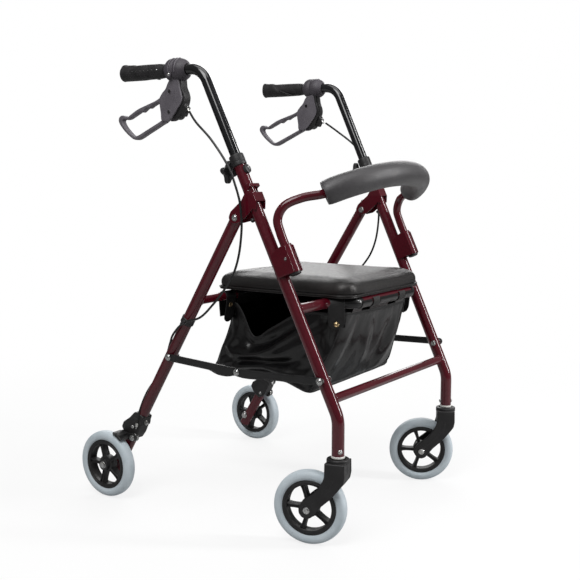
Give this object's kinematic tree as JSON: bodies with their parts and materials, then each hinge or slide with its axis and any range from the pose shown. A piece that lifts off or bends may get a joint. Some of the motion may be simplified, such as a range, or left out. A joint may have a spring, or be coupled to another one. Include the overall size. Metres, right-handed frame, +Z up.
{
  "type": "rollator walker",
  "caption": "Folding rollator walker with swivel casters, braked rear wheels, height-adjustable handles with loop brakes, flip-up seat, lift-out backrest and storage bag.",
  "frame": {"origin": "centre of the footprint's box, on the floor under the wheels", "axes": "+Z up, -Y towards the front casters, +Y towards the user at the handles, +X to the user's left"},
  "size_m": [0.616, 0.706, 0.977],
  "materials": {
    "frame_paint": "gloss metallic burgundy powder coat",
    "black_paint": "gloss black",
    "grey_plastic": "fine textured",
    "black_plastic": "satin moulded",
    "grip_rubber": "moulded texture",
    "tyre_grey": "matte solid PU",
    "zinc": "zinc plated",
    "nylon": "natural nylon",
    "foam": "soft closed cell foam",
    "seat_vinyl": "black vinyl, soft sheen",
    "bag_vinyl": "coated black cloth",
    "cable": "cable housing"
  },
  "bodies": {
    "root": {"front_frame": "frame_paint", "hinge_bracket_l": "frame_paint", "hinge_bracket_r": "frame_paint", "backrest_bracket_l": "frame_paint", "backrest_bracket_r": "frame_paint", "height_collar_l": "black_plastic", "height_collar_r": "black_plastic", "pivot_bolt_l": "zinc", "pivot_bolt_r": "zinc", "link_bolt_front_l": "zinc", "link_bolt_front_r": "zinc", "stem_bush_l": "nylon", "stem_bush_r": "nylon", "brake_cable_l": "cable", "brake_cable_r": "cable", "bag": "bag_vinyl"},
    "rear": {"rear_frame": "frame_paint", "rear_axle_l": "zinc", "rear_axle_r": "zinc", "brake_bracket_l": "black_plastic", "brake_bracket_r": "black_plastic", "link_bolt_rear_l": "zinc", "link_bolt_rear_r": "zinc"},
    "front_link_l": {"front_link_l": "black_plastic", "link_bolt_mid_l": "zinc"},
    "rear_link_l": {"rear_link_l": "black_plastic"},
    "caster_l": {"caster_fork_l": "black_plastic", "caster_axle_l": "zinc"},
    "caster_wheel_l": {"caster_wheel_l": "black_plastic", "caster_tyre_l": "tyre_grey"},
    "rear_wheel_l": {"rear_wheel_l": "black_plastic", "rear_tyre_l": "tyre_grey"},
    "brake_l": {"brake_shoe_l": "black_plastic"},
    "handle_l": {"handle_tube_l": "black_paint", "grip_l": "grip_rubber", "brake_housing_l": "black_plastic"},
    "lever_l": {"brake_lever_l": "grey_plastic"},
    "knob_l": {"height_knob_l": "black_plastic"},
    "button_l": {"backrest_button_l": "zinc"},
    "front_link_r": {"front_link_r": "black_plastic", "link_bolt_mid_r": "zinc"},
    "rear_link_r": {"rear_link_r": "black_plastic"},
    "caster_r": {"caster_fork_r": "black_plastic", "caster_axle_r": "zinc"},
    "caster_wheel_r": {"caster_wheel_r": "black_plastic", "caster_tyre_r": "tyre_grey"},
    "rear_wheel_r": {"rear_wheel_r": "black_plastic", "rear_tyre_r": "tyre_grey"},
    "brake_r": {"brake_shoe_r": "black_plastic"},
    "handle_r": {"handle_tube_r": "black_paint", "grip_r": "grip_rubber", "brake_housing_r": "black_plastic"},
    "lever_r": {"brake_lever_r": "grey_plastic"},
    "knob_r": {"height_knob_r": "black_plastic"},
    "button_r": {"backrest_button_r": "zinc"},
    "seat": {"seat_base": "black_plastic", "seat_pad": "seat_vinyl"},
    "backrest": {"backrest_tube": "frame_paint", "backrest_pad": "foam"}
  },
  "joints": [
    {"name": "fold", "type": "hinge", "parent": "root", "child": "rear", "pos_m": [0, -0.08622, 0.651], "axis": [-1, 0, 0], "range_deg": [0, 36], "deforming": ["brake_cable_l", "brake_cable_r"]},
    {"name": "front_link_l", "type": "hinge", "parent": "root", "child": "front_link_l", "pos_m": [0.2713, -0.29022, 0.336], "axis": [1, 0, 0], "range_deg": [-0.5, 45.73]},
    {"name": "rear_link_l", "type": "hinge", "parent": "rear", "child": "rear_link_l", "pos_m": [0.2679, 0.10428, 0.3405], "axis": [-1, 0, 0], "range_deg": [-0.5, 49.31]},
    {"name": "caster_swivel_l", "type": "hinge", "parent": "root", "child": "caster_l", "pos_m": [0.25, -0.32022, 0.184], "axis": [0, 0, 1], "continuous": true},
    {"name": "caster_spin_l", "type": "hinge", "parent": "caster_l", "child": "caster_wheel_l", "pos_m": [0.22298, -0.27003, 0.0762], "axis": [0.8805, 0.4741, 0], "continuous": true},
    {"name": "rear_spin_l", "type": "hinge", "parent": "rear", "child": "rear_wheel_l", "pos_m": [0.287, 0.27678, 0.0762], "axis": [1, 0, 0], "continuous": true},
    {"name": "brake_l", "type": "hinge", "parent": "rear", "child": "brake_l", "pos_m": [0.27, 0.21378, 0.142], "axis": [-1, 0, 0], "range_deg": [-2.5, 4]},
    {"name": "handle_height_l", "type": "slide", "parent": "root", "child": "handle_l", "axis": [0.019, 0.423, 0.9059], "range_m": [-0.125, 0.0245], "deforming": ["brake_cable_l"]},
    {"name": "lever_l", "type": "hinge", "parent": "handle_l", "child": "lever_l", "pos_m": [0.274, 0.08178, 0.9105], "axis": [1, 0, 0], "range_deg": [-10, 16]},
    {"name": "knob_l", "type": "hinge", "parent": "root", "child": "knob_l", "pos_m": [0.26, -0.06322, 0.743], "axis": [0, 1, 0], "continuous": true},
    {"name": "button_l", "type": "slide", "parent": "root", "child": "button_l", "axis": [-1, 0, 0], "range_m": [0, 0.0022]},
    {"name": "front_link_r", "type": "hinge", "parent": "root", "child": "front_link_r", "pos_m": [-0.2713, -0.29022, 0.336], "axis": [1, 0, 0], "range_deg": [-0.5, 45.73]},
    {"name": "rear_link_r", "type": "hinge", "parent": "rear", "child": "rear_link_r", "pos_m": [-0.2679, 0.10428, 0.3405], "axis": [-1, 0, 0], "range_deg": [-0.5, 49.31]},
    {"name": "caster_swivel_r", "type": "hinge", "parent": "root", "child": "caster_r", "pos_m": [-0.25, -0.32022, 0.184], "axis": [0, 0, 1], "continuous": true},
    {"name": "caster_spin_r", "type": "hinge", "parent": "caster_r", "child": "caster_wheel_r", "pos_m": [-0.26456, -0.26511, 0.0762], "axis": [0.9668, 0.2554, 0], "continuous": true},
    {"name": "rear_spin_r", "type": "hinge", "parent": "rear", "child": "rear_wheel_r", "pos_m": [-0.287, 0.27678, 0.0762], "axis": [1, 0, 0], "continuous": true},
    {"name": "brake_r", "type": "hinge", "parent": "rear", "child": "brake_r", "pos_m": [-0.27, 0.21378, 0.142], "axis": [-1, 0, 0], "range_deg": [-2.5, 4]},
    {"name": "handle_height_r", "type": "slide", "parent": "root", "child": "handle_r", "axis": [-0.019, 0.423, 0.9059], "range_m": [-0.125, 0.0245], "deforming": ["brake_cable_r"]},
    {"name": "lever_r", "type": "hinge", "parent": "handle_r", "child": "lever_r", "pos_m": [-0.274, 0.08178, 0.9105], "axis": [1, 0, 0], "range_deg": [-10, 16]},
    {"name": "knob_r", "type": "hinge", "parent": "root", "child": "knob_r", "pos_m": [-0.26, -0.06322, 0.743], "axis": [0, 1, 0], "continuous": true},
    {"name": "button_r", "type": "slide", "parent": "root", "child": "button_r", "axis": [1, 0, 0], "range_m": [0, 0.0022]},
    {"name": "seat_flip", "type": "hinge", "parent": "root", "child": "seat", "pos_m": [0, -0.28522, 0.474], "axis": [1, 0, 0], "range_deg": [0, 66]},
    {"name": "backrest_lift", "type": "slide", "parent": "root", "child": "backrest", "axis": [0, 0.4231, 0.9061], "range_m": [0, 0.06]}
  ],
  "couplings": [
    {"joint": "front_link_l", "follows": "fold", "ratio": 1.2563},
    {"joint": "rear_link_l", "follows": "fold", "ratio": 1.3559},
    {"joint": "brake_l", "follows": "lever_l", "ratio": 0.225},
    {"joint": "front_link_r", "follows": "fold", "ratio": 1.2563},
    {"joint": "rear_link_r", "follows": "fold", "ratio": 1.3559},
    {"joint": "brake_r", "follows": "lever_r", "ratio": 0.225}
  ]
}
